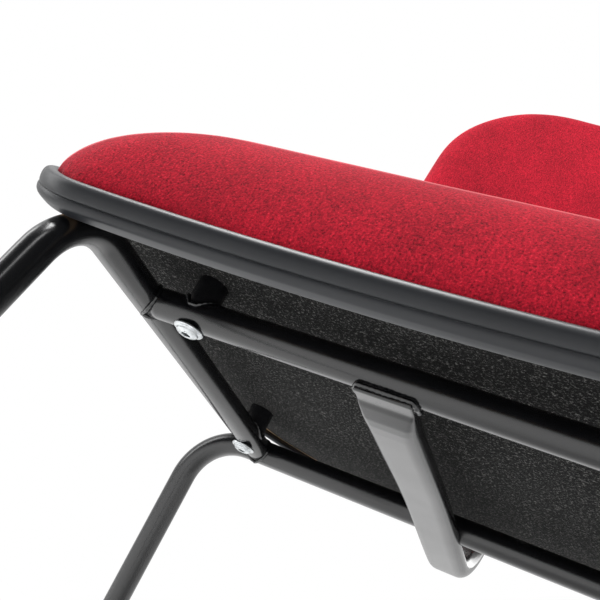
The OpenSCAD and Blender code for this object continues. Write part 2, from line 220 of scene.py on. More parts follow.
def sweep(name, path, sections, material, first_normal, closed=False):
    """A skin along a path: sections is one outline, or a function of the point's number."""
    frames = path_frames(path, first_normal, closed)
    rings = []
    for i, p in enumerate(path):
        n, b = frames[i]
        section = sections(i) if callable(sections) else sections
        rings.append([p + n * u + b * v for u, v in section])
    verts, faces = bridge(rings, close_path=closed)
    return new_object(name, verts, faces, material)


def straight(a, b, step=6 * MM):
    count = max(2, int((b - a).length / step) + 1)
    return [a.lerp(b, i / count) for i in range(count + 1)]


def bend(start, into, out, radius, steps=28):
    """Points of an arc that turns from one direction to another."""
    angle = into.angle(out)
    side = (out - into * into.dot(out)).normalized()
    points = []
    for i in range(steps + 1):
        a = angle * i / steps
        points.append(start + into * radius * math.sin(a) + side * radius * (1 - math.cos(a)))
    return points


def lathe(name, profile, spot, material, count, hex_from=None):
    """Turns (radius, height) pairs about Z. Rings from hex_from on are hexagons."""
    rings = []
    for k, (radius, height) in enumerate(profile):
        ring = []
        for i in range(count):
            a = FULL * i / count
            r = radius
            if hex_from is not None and k >= hex_from:
                sector = (a % (FULL / 6)) - FULL / 12
                r = radius * math.cos(FULL / 12) / math.cos(sector)
            ring.append(spot @ Vector((r * math.cos(a), r * math.sin(a), height)))
        rings.append(ring)
    verts, faces = bridge(rings)
    return new_object(name, verts, faces, material)


def bead(name, path, radius, closed, seed):
    """A painted weld bead: an uneven rippled roll of metal along a joint."""
    rng = random.Random(seed)
    spaced = resample(path, 0.7 * MM, closed)
    phase = rng.random() * 6
    stretch = 5
    wobble = [rng.uniform(-1, 1) for _ in range(len(spaced) // stretch + 3)]
    swelling, ripple_size, ripple_turn = 0.18, 0.10, 1.35

    def section(i):
        k, part = i // stretch, (i % stretch) / stretch
        slow = wobble[k] + (wobble[k + 1] - wobble[k]) * part
        ripple = ripple_size * math.sin(i * ripple_turn + phase)
        return circle(radius * (1 + swelling * slow + ripple), 12)

    slanted = Vector((0.31, 0.22, 0.92))
    place(sweep(name, spaced, section, PAINT, slanted, closed), "frame_paint")


def resample(points, step, closed=False):
    """Evenly spaced points along a polyline."""
    line = list(points) + ([points[0]] if closed else [])
    lengths = [0.0]
    for a, b in zip(line, line[1:]):
        lengths.append(lengths[-1] + (b - a).length)
    count = max(4, round(lengths[-1] / step))
    result, k = [], 0
    for i in range(count if closed else count + 1):
        target = lengths[-1] * i / count
        while k < len(lengths) - 2 and lengths[k + 1] < target:
            k += 1
        span = lengths[k + 1] - lengths[k]
        t = (target - lengths[k]) / span if span > 0 else 0
        result.append(line[k].lerp(line[k + 1], min(1, t)))
    return result


def smoothstep(a, b, x):
    t = max(0.0, min(1.0, (x - a) / (b - a)))
    return t * t * (3 - 2 * t)


# ---------- materials ----------


def material(name):
    """A new material, its nodes, links and shader, and coordinates that stay with the object."""
    mat = bpy.data.materials.new(name)
    mat.use_nodes = True
    nodes = mat.node_tree.nodes
    coords = nodes.new("ShaderNodeTexCoord").outputs["Object"]
    return mat, nodes, mat.node_tree.links, nodes["Principled BSDF"], coords


def set_inputs(node, values):
    for name, value in values.items():
        node.inputs[name].default_value = value


def noise(nodes, links, coords, scale, detail, roughness=0.5, stretch=(1, 1, 1)):
    mapping = nodes.new("ShaderNodeMapping")
    mapping.inputs["Scale"].default_value = stretch
    links.new(coords, mapping.inputs["Vector"])
    tex = nodes.new("ShaderNodeTexNoise")
    set_inputs(tex, {"Scale": scale, "Detail": detail, "Roughness": roughness})
    links.new(mapping.outputs["Vector"], tex.inputs["Vector"])
    return tex.outputs["Fac"]


def ramp(nodes, links, value, stops):
    node = nodes.new("ShaderNodeValToRGB")
    elements = node.color_ramp.elements
    while len(elements) < len(stops):
        elements.new(0.5)
    for element, (position, colour) in zip(elements, stops):
        element.position = position
        element.color = (*colour, 1)
    links.new(value, node.inputs["Fac"])
    return node.outputs["Color"]


def blend_colours(nodes, links, a, b, factor, mode="MIX"):
    """Blends two colours. The second may be a plain colour, and the factor a plain number."""
    node = nodes.new("ShaderNodeMix")
    node.data_type = "RGBA"
    node.blend_type = mode
    if isinstance(factor, float):
        node.inputs["Factor"].default_value = factor
    else:
        links.new(factor, node.inputs["Factor"])
    links.new(a, node.inputs["A"])
    if isinstance(b, tuple):
        node.inputs["B"].default_value = (*b, 1)
    else:
        links.new(b, node.inputs["B"])
    return node.outputs["Result"]


def add_bump(nodes, links, shader, height, strength, distance):
    node = nodes.new("ShaderNodeBump")
    set_inputs(node, {"Strength": strength, "Distance": distance})
    links.new(height, node.inputs["Height"])
    links.new(node.outputs["Normal"], shader.inputs["Normal"])


def grey(value):
    return (value, value, value)


def powder_coat(name, colour, rough):
    """Glossy paint with faint clouds and a fine orange-peel surface."""
    mat, nodes, links, shader, coords = material(name)
    cloud = noise(nodes, links, coords, scale=35, detail=3)
    tone = ramp(nodes, links, cloud, [(0.3, colour), (0.7, tuple(c * 1.25 for c in colour))])
    links.new(tone, shader.inputs["Base Color"])
    peel = noise(nodes, links, coords, scale=900, detail=2)
    rough_tone = ramp(nodes, links, cloud, [(0.2, grey(rough - 0.04)), (0.8, grey(rough + 0.05))])
    links.new(rough_tone, shader.inputs["Roughness"])
    set_inputs(shader, {"Specular IOR Level": 0.5, "Coat Weight": 0.25, "Coat Roughness": 0.18})
    add_bump(nodes, links, shader, peel, strength=0.12, distance=0.3 * MM)
    return mat


def red_fabric(name):
    """A short-pile melange cloth: fine ribs, coloured flecks, soft clouds and a painted pink sheen
    at its edges.
    """
    mat, nodes, links, shader, coords = material(name)
    flecks = noise(nodes, links, coords, scale=950, detail=4, roughness=0.65)
    upright_ribs = (1.0, 1.0, 0.25)
    streaks = noise(nodes, links, coords, 900, 2, roughness=0.6, stretch=upright_ribs)
    cloud = noise(nodes, links, coords, scale=28, detail=3, roughness=0.55)
    reds = [
        (0.32, (0.090, 0.002, 0.006)),
        (0.45, (0.270, 0.006, 0.017)),
        (0.58, (0.385, 0.006, 0.019)),
        (0.72, (0.590, 0.026, 0.046)),
    ]
    base = ramp(nodes, links, flecks, reds)
    ribs = ramp(nodes, links, streaks, [(0.35, grey(0.72)), (0.65, grey(1.16))])
    cloudy = ramp(nodes, links, cloud, [(0.3, grey(0.78)), (0.7, grey(1.12))])
    toned = blend_colours(nodes, links, base, ribs, 0.8, "MULTIPLY")
    toned = blend_colours(nodes, links, toned, cloudy, 0.8, "MULTIPLY")
    # Painted sheen: a lighter pink blended into the colour where the cloth turns away from view,
    # standing in for light caught in the pile at its outline
    edge = nodes.new("ShaderNodeLayerWeight")
    edge.inputs["Blend"].default_value = 0.5
    painted_sheen = ramp(nodes, links, edge.outputs["Facing"], [(0.86, grey(0.0)), (1.0, grey(0.6))])
    with_painted_sheen = blend_colours(nodes, links, toned, (0.90, 0.26, 0.28), painted_sheen)
    links.new(with_painted_sheen, shader.inputs["Base Color"])
    set_inputs(shader, {"Roughness": 0.9, "Specular IOR Level": 0.08})
    set_inputs(shader, {"Sheen Weight": 0.12, "Sheen Roughness": 0.25})
    set_inputs(shader, {"Sheen Tint": (1.0, 0.55, 0.6, 1)})
    weave = blend_colours(nodes, links, flecks, streaks, 0.5, "ADD")
    add_bump(nodes, links, shader, weave, strength=0.55, distance=0.6 * MM)
    return mat


def edge_rubber(name):
    """Dark satin rubber, a little uneven in tone."""
    mat, nodes, links, shader, coords = material(name)
    cloud = noise(nodes, links, coords, scale=18, detail=3)
    stops = [(0.25, (0.009, 0.010, 0.012)), (0.75, (0.014, 0.0155, 0.018))]
    tone = ramp(nodes, links, cloud, stops)
    links.new(tone, shader.inputs["Base Color"])
    set_inputs(shader, {"Roughness": 0.4, "Specular IOR Level": 0.34})
    pores = noise(nodes, links, coords, scale=700, detail=2)
    add_bump(nodes, links, shader, pores, strength=0.1, distance=0.2 * MM)
    return mat


def felt(name):
    """Black speckled underside cloth with light fibres."""
    mat, nodes, links, shader, coords = material(name)
    specks = noise(nodes, links, coords, scale=640, detail=5, roughness=0.8)
    fibres = noise(nodes, links, coords, scale=420, detail=3, roughness=0.7, stretch=(1, 2.6, 1))
    greys = [
        (0.36, grey(0.0005)),
        (0.48, grey(0.0015)),
        (0.56, (0.012, 0.012, 0.0115)),
        (0.65, (0.170, 0.168, 0.160)),
    ]
    tone = ramp(nodes, links, specks, greys)
    light = ramp(nodes, links, fibres, [(0.3, grey(0.6)), (0.7, grey(1.4))])
    toned = blend_colours(nodes, links, tone, light, 0.9, "MULTIPLY")
    links.new(toned, shader.inputs["Base Color"])
    set_inputs(shader, {"Roughness": 0.95, "Specular IOR Level": 0.05, "Sheen Weight": 0.03})
    add_bump(nodes, links, shader, specks, strength=0.6, distance=0.5 * MM)
    return mat


def zinc_plate(name):
    """Clouded bright zinc plating."""
    mat, nodes, links, shader, coords = material(name)
    cloud = noise(nodes, links, coords, scale=260, detail=4, roughness=0.6)
    tone = ramp(nodes, links, cloud, [(0.3, (0.36, 0.38, 0.39)), (0.7, (0.60, 0.62, 0.63))])
    links.new(tone, shader.inputs["Base Color"])
    shader.inputs["Metallic"].default_value = 1.0
    rough = ramp(nodes, links, cloud, [(0.3, grey(0.24)), (0.7, grey(0.38))])
    links.new(rough, shader.inputs["Roughness"])
    crystals = noise(nodes, links, coords, scale=1500, detail=2)
    add_bump(nodes, links, shader, crystals, strength=0.08, distance=0.1 * MM)
    return mat


def plywood(name):
    """Beech veneer with grain along the board."""
    mat, nodes, links, shader, coords = material(name)
    grain = noise(nodes, links, coords, scale=22, detail=5, roughness=0.6, stretch=(9, 1, 9))
    stops = [(0.25, (0.30, 0.18, 0.09)), (0.55, (0.45, 0.29, 0.16)), (0.8, (0.55, 0.38, 0.22))]
    tone = ramp(nodes, links, grain, stops)
    links.new(tone, shader.inputs["Base Color"])
    shader.inputs["Roughness"].default_value = 0.55
    add_bump(nodes, links, shader, grain, strength=0.2, distance=0.3 * MM)
    return mat


def moulded_plastic(name, colour, rough):
    """Plastic with a fine leathery grain."""
    mat, nodes, links, shader, coords = material(name)
    grain = noise(nodes, links, coords, scale=1100, detail=3, roughness=0.6)
    cloud = noise(nodes, links, coords, scale=20, detail=2)
    tone = ramp(nodes, links, cloud, [(0.3, colour), (0.7, tuple(c * 1.3 for c in colour))])
    links.new(tone, shader.inputs["Base Color"])
    shader.inputs["Roughness"].default_value = rough
    add_bump(nodes, links, shader, grain, strength=0.25, distance=0.3 * MM)
    return mat


def foam(name):
    """Open-celled yellow foam."""
    mat, nodes, links, shader, coords = material(name)
    cells = noise(nodes, links, coords, scale=700, detail=3, roughness=0.7)
    tone = ramp(nodes, links, cells, [(0.35, (0.60, 0.52, 0.28)), (0.7, (0.82, 0.74, 0.48))])
    links.new(tone, shader.inputs["Base Color"])
    shader.inputs["Roughness"].default_value = 0.95
    add_bump(nodes, links, shader, cells, strength=0.5, distance=0.5 * MM)
    return mat


PAINT = powder_coat("frame_paint", (0.0023, 0.0025, 0.0030), 0.23)
FABRIC = red_fabric("red_fabric")
RUBBER = edge_rubber("edge_rubber")
FELT = felt("underside_cloth")
ZINC = zinc_plate("zinc")
WOOD = plywood("plywood")
BLACK_PLASTIC = moulded_plastic("black_plastic", (0.010, 0.010, 0.011), 0.5)
REAR_PLASTIC = moulded_plastic("rear_plastic", (0.018, 0.019, 0.021), 0.45)
FOAM = foam("foam")
SLOT_MATERIALS = {
    "frame_paint": PAINT,
    "plywood": WOOD,
    "underside_cloth": FELT,
    "foam": FOAM,
    "red_fabric": FABRIC,
    "edge_rubber": RUBBER,
    "zinc": ZINC,
    "black_plastic": BLACK_PLASTIC,
    "rear_plastic": REAR_PLASTIC,
}


def place(obj, slot, *replaced):
    """Every piece rides the one body and hides the CAD nodes that it stands for; the slot argument
    is not used.
    """
    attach(obj, ROOT)
    if replaced:
        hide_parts(*replaced)
    return obj


for part in frame["record"]["subparts"]:
    node = frame["nodes"][part["node"]]
    node.data.materials.clear()
    node.data.materials.append(SLOT_MATERIALS[part["material_slot"]])


# ---------- bent tubes ----------


def leg_points(start, into, out, radius):
    arc = bend(start, into, out, radius)
    foot = arc[-1] + out * ((LEG_END_Z - arc[-1].z) / out.z)
    return arc, foot


def tube_path(pieces):
    """Joins runs of points, dropping repeats."""
    path = []
    for run in pieces:
        for p in run:
            if not path or (p - path[-1]).length > 0.2 * MM:
                path.append(p)
    return path


def crushed(path, arcs, depth, swell):
    """Round sections that are pressed a little flat in the middle of each bend."""
    reach, outer_share = 0.62, 0.4
    mids = [arc[len(arc) // 2] for arc in arcs]
    spans = [(arc[-1] - arc[0]).length * reach for arc in arcs]

    def section(i):
        press = 0.0
        for mid, span in zip(mids, spans):
            press = max(press, 1 - smoothstep(0.15, 1.0, (path[i] - mid).length / span))
        out = []
        for u, v in circle(TUBE_R, TUBE_SIDES):
            side = 1 - depth * press * (1 if v > 0 else outer_share)
            out.append((u * (1 + swell * press), v * side))
        return out

    return section


def front_leg(side):
    name = "left" if side < 0 else "right"
    out = Vector((side * FRONT_DIR.x, FRONT_DIR.y, FRONT_DIR.z))
    start = Vector((side * RAIL_X, CROSS_Y - FRONT_LEAD, FRAME_Z))
    arc, foot = leg_points(start, Vector((0, -1, 0)), out, FRONT_BEND_R)
    rear = Vector((side * RAIL_X, REAR_Y - TUBE_R * 0.55, FRAME_Z))
    path = tube_path([straight(rear, start), arc, straight(arc[-1], foot)])
    section = crushed(path, [arc], depth=0.14, swell=0.03)
    obj = sweep(name + "_front_leg", path, section, PAINT, Vector((1, 0, 0)))
    return place(obj, "frame_paint", name + "_front_leg_rail")


def rear_frame():
    arcs, feet = [], []
    for side in (-1, 1):
        out = Vector((side * REAR_DIR.x, REAR_DIR.y, REAR_DIR.z))
        start = Vector((side * REAR_LEAD, REAR_Y, FRAME_Z))
        arc, foot = leg_points(start, Vector((side, 0, 0)), out, REAR_BEND_R)
        arcs.append(arc)
        feet.append(foot)
    left, right = arcs
    down, up = straight(right[-1], feet[1]), straight(feet[0], left[-1])
    path = tube_path([up, list(reversed(left)), straight(left[0], right[0]), right, down])
    section = crushed(path, arcs, depth=0.06, swell=0.02)
    obj = sweep("rear_legs", path, section, PAINT, Vector((0, 1, 0)))
    return place(obj, "frame_paint", "rear_leg_frame")


def cross_tube():
    reach = RAIL_X - TUBE_R * 0.5
    path = straight(Vector((-reach, CROSS_Y, FRAME_Z)), Vector((reach, CROSS_Y, FRAME_Z)))
    obj = sweep("cross_tube", path, circle(TUBE_R, TUBE_SIDES), PAINT, Vector((0, 1, 0)))
    return place(obj, "frame_paint", "front_cross_tube")


front_leg(-1)
front_leg(1)
rear_frame()
cross_tube()


# ---------- the single support tube ----------


def upright(x, rearward, up):
    """A point in the back's own frame, leaning back with the upright."""
    return Vector(
        (
            x,
            UPRIGHT_Y + rearward * math.cos(BACK_TILT) + up * math.sin(BACK_TILT),
            UPRIGHT_Z - rearward * math.sin(BACK_TILT) + up * math.cos(BACK_TILT),
        )
    )


# Along the support tube's flattened end: distance from the cross tube, half width, half height
# and radius of its sides, in millimetres
SPINE_STATIONS = [
    (-5, 15.0, 1.9, 0.8), (-4, 15.5, 2.3, 1.0), (4, 15.5, 2.3, 1.2),
    (6, 15.5, 2.5, 1.4), (9, 15.5, 3.9, 2.6), (18, 15.3, 6.4, 5.2),
    (24, 15.1, 7.2, 6.4), (32, 15.0, 7.5, 7.2), (45, 15.0, 7.5, 7.5),
]


CORNERS = ((1, 1), (-1, 1), (-1, -1), (1, -1))


def oval(half_w, half_h, side_r, steps=10):
    """A flat-sided section whose sides are rounded, as (across, up) pairs."""
    ring = []
    end_r = min(side_r, half_h)
    for k, (sx, sy) in enumerate(CORNERS):
        for i in range(steps + 1):
            a = (k + i / steps) * QUARTER
            across = sx * (half_w - side_r) + side_r * math.cos(a)
            ring.append((across, sy * (half_h - end_r) + end_r * math.sin(a)))
    return ring


def spine():
    stations = [(CROSS_Y + a * MM, b * MM, c * MM, d * MM) for a, b, c, d in SPINE_STATIONS]
    level = [Vector((0, stations[0][0], SPINE_Z))]
    rise_from, rise_to = CROSS_Y + RISE_START, CROSS_Y + RISE_TOP
    bend_y = UPRIGHT_Y - SPINE_BEND_R * math.sin(BEND_ANGLE)
    while level[-1].y < stations[-1][0]:
        level.append(level[-1] + Vector((0, 1 * MM, 0)))
    level += straight(level[-1], Vector((0, bend_y, SPINE_Z)))
    rise = Vector((0, math.sin(BACK_TILT), math.cos(BACK_TILT)))
    arc = bend(level[-1], Vector((0, 1, 0)), rise, SPINE_BEND_R, 36)
    path = tube_path([level, arc, straight(arc[-1], upright(0, 0, SPINE_UP))])
    for p in path:
        if p.y < bend_y:
            bow = smoothstep(rise_from, rise_to, p.y) * (1 - smoothstep(rise_to, bend_y, p.y))
            p.z += SPINE_RISE * bow

    def section(i):
        y = min(path[i].y, stations[-1][0])
        for a, b in zip(stations, stations[1:]):
            if y <= b[0]:
                t = (y - a[0]) / (b[0] - a[0])
                half_w, half_h, side_r = (a[k] + (b[k] - a[k]) * t for k in (1, 2, 3))
                break
        return oval(half_w, half_h, side_r)

    obj = sweep("support_tube", path, section, PAINT, Vector((1, 0, 0)))
    return place(obj, "frame_paint", "back_spine")


spine()


# ---------- sleeves, weld beads and bolts ----------


def sleeve(node):
    """A spacer from inside its tube to just under the board, its top edge chamfered."""
    centre = middle(node)
    r = size_of(node).x / 2
    foot, chamfer = 4 * MM, 0.6 * MM
    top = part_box(node)[1].z - FRAME_Z - 0.4 * MM
    profile = [
        (SLEEVE_BORE_R, foot), (r, foot), (r, 2 * foot),
        (r, top - chamfer), (r - chamfer, top), (SLEEVE_BORE_R, top),
    ]
    spot = Matrix.Translation(Vector((centre.x, centre.y, FRAME_Z)))
    obj = lathe(node.replace("sleeve", "spacer"), profile, spot, PAINT, TUBE_SIDES)
    return place(sharpen(obj), "frame_paint", node)


RING_TURNS = [FULL * i / 72 for i in range(72)]
# How far weld beads lie outside the tubes, and how deep they sink towards the joint
WELD_OUT, WELD_IN = 0.2 * MM, 0.4 * MM


def coped_joint(at):
    """The line where a tube meets a crossing tube: at turns (gap, out, height) into a point."""
    joint = []
    for a in RING_TURNS:
        z = TUBE_R * math.sin(a)
        gap = math.sqrt(max(0, TUBE_R**2 - z**2))
        joint.append(at(gap + WELD_IN, (TUBE_R + WELD_OUT) * math.cos(a), FRAME_Z + z * 1.02))
    return joint


def frame_welds(side, seed):
    """The beads at one end of the front cross tube and at the rear end of that side's rail."""
    label = "left" if side < 0 else "right"

    def cross_end(gap, out, z):
        return Vector((side * (RAIL_X - gap), CROSS_Y + out, z))

    def rail_end(gap, out, z):
        return Vector((side * RAIL_X + out, REAR_Y - gap, z))

    bead(label + "_cross_weld", coped_joint(cross_end), 1.1 * MM, True, seed)
    bead(label + "_rail_weld", coped_joint(rail_end), 1.1 * MM, True, seed + 1)


def sleeve_weld(node, seed):
    centre = middle(node)
    along_rail = abs(centre.x) > RAIL_X - 5 * MM
    r = size_of(node).x / 2 + 0.3 * MM
    joint = []
    for a in RING_TURNS:
        across = r * (math.cos(a) if along_rail else math.sin(a))
        lift = math.sqrt(max(0, (TUBE_R + WELD_OUT) ** 2 - min(across**2, TUBE_R**2)))
        spot = Vector((r * math.cos(a), r * math.sin(a), lift))
        joint.append(Vector((centre.x, centre.y, FRAME_Z)) + spot)
    bead(node.replace("sleeve", "spacer_weld"), joint, 1.2 * MM, True, seed)


def support_weld(seed):
    """The bead round the front and sides of the support tube's flattened end."""
    half = SPINE_STATIONS[1][1] * MM
    under = FRAME_Z - TUBE_R - 0.6 * MM
    tail, front = CROSS_Y + 6 * MM, CROSS_Y - 4.6 * MM
    beside, within = half + 1 * MM, half - 1 * MM
    right_side = [
        Vector((within, front, under + 0.4 * MM)),
        Vector((beside, CROSS_Y, under)),
        Vector((beside, tail, under + 0.8 * MM)),
    ]
    left_side = [Vector((-p.x, p.y, p.z)) for p in reversed(right_side)]
    bead("support_weld", left_side + right_side, 1.7 * MM, False, seed)


# The first ring of a bolt's profile that belongs to its hexagonal socket
SOCKET_RING = 10


def bolt_profile(r, socket):
    """A flanged button head, its face down: (radius, height) pairs to the socket's floor."""
    return [
        (0.2 * r, 0.0), (0.93 * r, 0.0), (r, -0.06 * r), (r, -0.12 * r), (0.95 * r, -0.18 * r),
        (0.80 * r, -0.20 * r), (0.75 * r, -0.24 * r), (0.72 * r, -0.34 * r),
        (0.62 * r, -0.42 * r), (0.48 * r, -0.47 * r), (socket * 1.18, -0.48 * r),
        (socket, -0.45 * r), (socket * 0.98, -0.10 * r), (0.02 * r, -0.06 * r),
    ]


def seat_bolts():
    parts = []
    for node in SLEEVES:
        centre = middle(node)
        face = FRAME_Z - TUBE_R + PRESS_DEPTH
        spot = Matrix.Translation(Vector((centre.x, centre.y, face)))
        spot = spot @ Matrix.Rotation(centre.x * SOCKET_TURN, 4, "Z")
        profile = bolt_profile(SEAT_BOLT_R, SEAT_SOCKET_R)
        parts.append(lathe("seat_bolt", profile, spot, ZINC, 72, SOCKET_RING))
    obj = join(parts, "seat_bolt_heads")
    return place(sharpen(obj, 28), "zinc", "seat_bolts")


def join(parts, name):
    bpy.ops.object.select_all(action="DESELECT")
    for p in parts:
        p.select_set(True)
    bpy.context.view_layer.objects.active = parts[0]
    bpy.ops.object.join()
    parts[0].name = name
    return parts[0]


for sleeve_node in SLEEVES:
    sleeve(sleeve_node)
frame_welds(-1, 3)
frame_welds(1, 5)
for weld_seed, sleeve_node in enumerate(SLEEVES, 7):
    sleeve_weld(sleeve_node, weld_seed)
support_weld(11)
seat_bolts()


# ---------- the seat ----------


def arc_points(cx, cy, r, a0, a1, steps=16):
    points = []
    for i in range(steps + 1):
        a = a0 + (a1 - a0) * i / steps
        points.append(Vector((cx + r * math.cos(a), cy + r * math.sin(a), 0)))
    return points


def evenly(points, count):
    """The closed outline through some points, with evenly spaced points in their place."""
    length = sum((b - a).length for a, b in zip(points, points[1:] + points[:1]))
    return resample(points, length / count, True)[:count]


SIDE_ANGLE = math.atan((SEAT_FRONT_X - SEAT_REAR_X) / (SEAT_FORE + SEAT_AFT))


def seat_outline(grow, count=220, ease=0):
    """The seat's edge, seen from above, moved outward, with its front corners eased."""
    front_r, rear_r = SEAT_FRONT_R + ease, SEAT_REAR_R
    fx, rx = SEAT_FRONT_X - front_r, SEAT_REAR_X - rear_r + REAR_EDGE_BOW
    fy, ry = CROSS_Y - SEAT_FORE + front_r, CROSS_Y + SEAT_AFT - rear_r
    flat, bow = math.radians(2), math.radians(6)
    left = math.pi - SIDE_ANGLE
    points = arc_points(rx, ry, rear_r + grow, SIDE_ANGLE, QUARTER - bow)
    points += arc_points(-rx, ry, rear_r + grow, QUARTER + bow, left)
    points += arc_points(-fx, fy, front_r + grow, left, 3 * QUARTER - flat)
    points += arc_points(fx, fy, front_r + grow, 3 * QUARTER + flat, FULL + SIDE_ANGLE)
    return evenly(points, count)


def underside(x, y):
    """Height of the seat board's underside."""
    back = max(y, FALL_Y) - DISH_Y
    fall = min(y - FALL_Y, 0)
    mid = FRAME_Z + SEAT_LIFT + back**2 / (2 * DISH_LONG_R)
    mid -= FALL_R - math.sqrt(FALL_R**2 - fall**2)
    return DISH_AXIS_Z - math.sqrt((DISH_AXIS_Z - mid) ** 2 - x**2)


def shrunk(outline, share, towards):
    return [towards.lerp(p, share) for p in outline]


SEAT_CENTRE = Vector((0, CROSS_Y + 106 * MM, 0))
CLOTH_T = 0.8 * MM


def seat_cloth():
    """The felt under the seat, a skin from its tucked edge to its middle."""
    edge = seat_outline(-2.5 * MM)
    rings = []
    for share in (1.0, 0.985, 0.96, 0.92, 0.86, 0.78, 0.68, 0.56, 0.42, 0.28, 0.14, 0.03):
        ring = []
        for p in shrunk(edge, share, SEAT_CENTRE):
            tuck = 0.9 * MM * smoothstep(0.93, 1.0, share)
            ring.append(Vector((p.x, p.y, underside(p.x, p.y) - CLOTH_T + tuck)))
        rings.append(ring)
    verts, faces = bridge(rings, cap_start=False)
    obj = new_object("underside_felt", verts, faces, FELT)
    return place(obj, "underside_cloth", "seat_underside_cloth")


# The band's section: (outward from the board's edge, height over the underside), in millimetres
BAND_SECTION = [
    (-3.0, -2.4), (-3.2, -3.8), (-2.6, -5.0), (-1.2, -5.3), (0.4, -5.1), (3.9, -3.1),
    (4.7, -2.4), (5.3, -1.2), (5.5, 0.2), (5.4, 1.4), (5.15, 1.95), (4.75, 2.15),
    (4.7, 2.35), (5.1, 2.7), (5.35, 3.6), (5.4, 5.4), (5.2, 7.6), (4.7, 9.4),
    (3.7, 10.8), (2.2, 11.6), (0.4, 11.9), (-1.6, 11.7), (-2.6, 11.0), (-2.6, 9.8),
    (-0.4, 8.0), (-0.4, 0.0),
]


def smooth_loop(points, rounds):
    """A closed loop of pairs with its corners cut, each round a quarter in from both ends."""
    for _ in range(rounds):
        cut = []
        for i, a in enumerate(points):
            b = points[(i + 1) % len(points)]
            cut.append((a[0] * 0.75 + b[0] * 0.25, a[1] * 0.75 + b[1] * 0.25))
            cut.append((a[0] * 0.25 + b[0] * 0.75, a[1] * 0.25 + b[1] * 0.75))
        points = cut
    return points


def outward_directions(outline):
    """At each point of a closed outline, the direction square to it in its own plane."""
    directions = []
    n = len(outline)
    for i in range(n):
        t = outline[(i + 1) % n] - outline[i - 1]
        directions.append(Vector((t.y, -t.x, 0)).normalized())
    return directions


def seat_band():
    outline = seat_outline(0, 320)
    section = smooth_loop(BAND_SECTION, 2)
    # How much of the board's slope at its edge the band follows
    follow = 0.55
    up = Vector((0, 0, 1))
    rings = []
    for p, out in zip(outline, outward_directions(outline)):
        base = underside(p.x, p.y)
        lean = (underside(p.x + out.x * MM, p.y + out.y * MM) - base) / MM
        tip = math.atan(lean) * follow
        level = out * math.cos(tip) + up * math.sin(tip)
        square = up * math.cos(tip) - out * math.sin(tip)
        foot = Vector((p.x, p.y, base))
        rings.append([foot + level * (u * MM) + square * (h * MM) for u, h in section])
    verts, faces = bridge(rings, close_path=True)
    obj = new_object("seat_edge_band_moulding", verts, faces, RUBBER)
    return place(obj, "edge_rubber", "seat_edge_band")


# How far a cushion's rounded bottom edge sinks behind the band round it
SINK = 2.5 * MM
# Shares of the way out from a cushion's middle at which its crown and its bottom have rings
CROWN_SHARES = (0.88, 0.75, 0.6, 0.45, 0.3, 0.15)
BOTTOM_SHARES = (0.2, 0.5, 0.8)


def seat_crown_z(p):
    """A gently domed seat surface, with room below the crown's height for its swelling."""
    across = p.x / SEAT_FRONT_X
    along = (p.y - DISH_Y) / SEAT_AFT
    room = 2.0
    return SEAT_CROWN - (room + 3.0 * across**2 + 6.0 * along**2) * MM


def seat_floor_z(p):
    """Height of the seat cushion's bottom, a little sunk into the board."""
    return underside(p.x, p.y) + BOARD_T - SINK


def seat_cushion():
    """The padded seat: its sides roll in from the band to a gently domed crown."""
    rows, reach, grow = 16, 56 * MM, 3.5 * MM
    base = seat_outline(grow)
    rings = []
    for i in range(rows + 1):
        a = QUARTER * i / rows
        inset = reach * (1 - math.cos(a))
        ring = []
        for p0, p in zip(base, seat_outline(grow - inset, ease=PAD_EASE * inset)):
            low, high = seat_floor_z(p0), seat_crown_z(p)
            ring.append(Vector((p.x, p.y, low + (high - low) * math.sin(a))))
        rings.append(ring)
    top = [Vector((p.x, p.y, 0)) for p in rings[-1]]
    for share in CROWN_SHARES:
        ring = shrunk(top, share, SEAT_CENTRE)
        rings.append([Vector((p.x, p.y, seat_crown_z(p))) for p in ring])
    bottom = []
    for share in BOTTOM_SHARES:
        ring = shrunk(base, share, SEAT_CENTRE)
        bottom.append([Vector((p.x, p.y, seat_floor_z(p))) for p in ring])
    verts, faces = bridge(bottom + rings)
    return new_object("seat_cushion", verts, faces, FABRIC)


def spread(mesh, steps, rounds):
    """Averages the steps over neighbouring points, so that the swelling has no lumps."""
    ends = numpy.empty(len(mesh.edges) * 2, dtype=numpy.int64)
    mesh.edges.foreach_get("vertices", ends)
    first, second = ends[0::2], ends[1::2]
    count = numpy.bincount(ends, minlength=len(steps))[:, None]
    steps = numpy.array(steps)
    for _ in range(rounds):
        total = numpy.zeros_like(steps)
        numpy.add.at(total, first, steps[second])
        numpy.add.at(total, second, steps[first])
        steps = (steps + total / count) / 2
    return steps


PUFF_VOXEL = 5 * MM
PUFF_PRESSURE = 3.0
PUFF_FRAMES = 20
SPREAD_ROUNDS, SMOOTH_ROUNDS = 60, 8


def swollen_places(obj):
    """Where a cloth simulation with pressure inside moves the piece's points."""
    cloth = obj.modifiers.new("cloth", "CLOTH")
    settings = cloth.settings
    settings.use_pressure = True
    settings.uniform_pressure_force = PUFF_PRESSURE
    settings.effector_weights.gravity = 0
    settings.quality = 5
    settings.mass = 0.4
    cloth.collision_settings.use_self_collision = False
    scene = bpy.context.scene
    for f in range(1, PUFF_FRAMES + 1):
        scene.frame_set(f)
    depsgraph = bpy.context.evaluated_depsgraph_get()
    moved = [v.co.copy() for v in obj.evaluated_get(depsgraph).data.vertices]
    obj.modifiers.remove(cloth)
    scene.frame_set(1)
    return moved


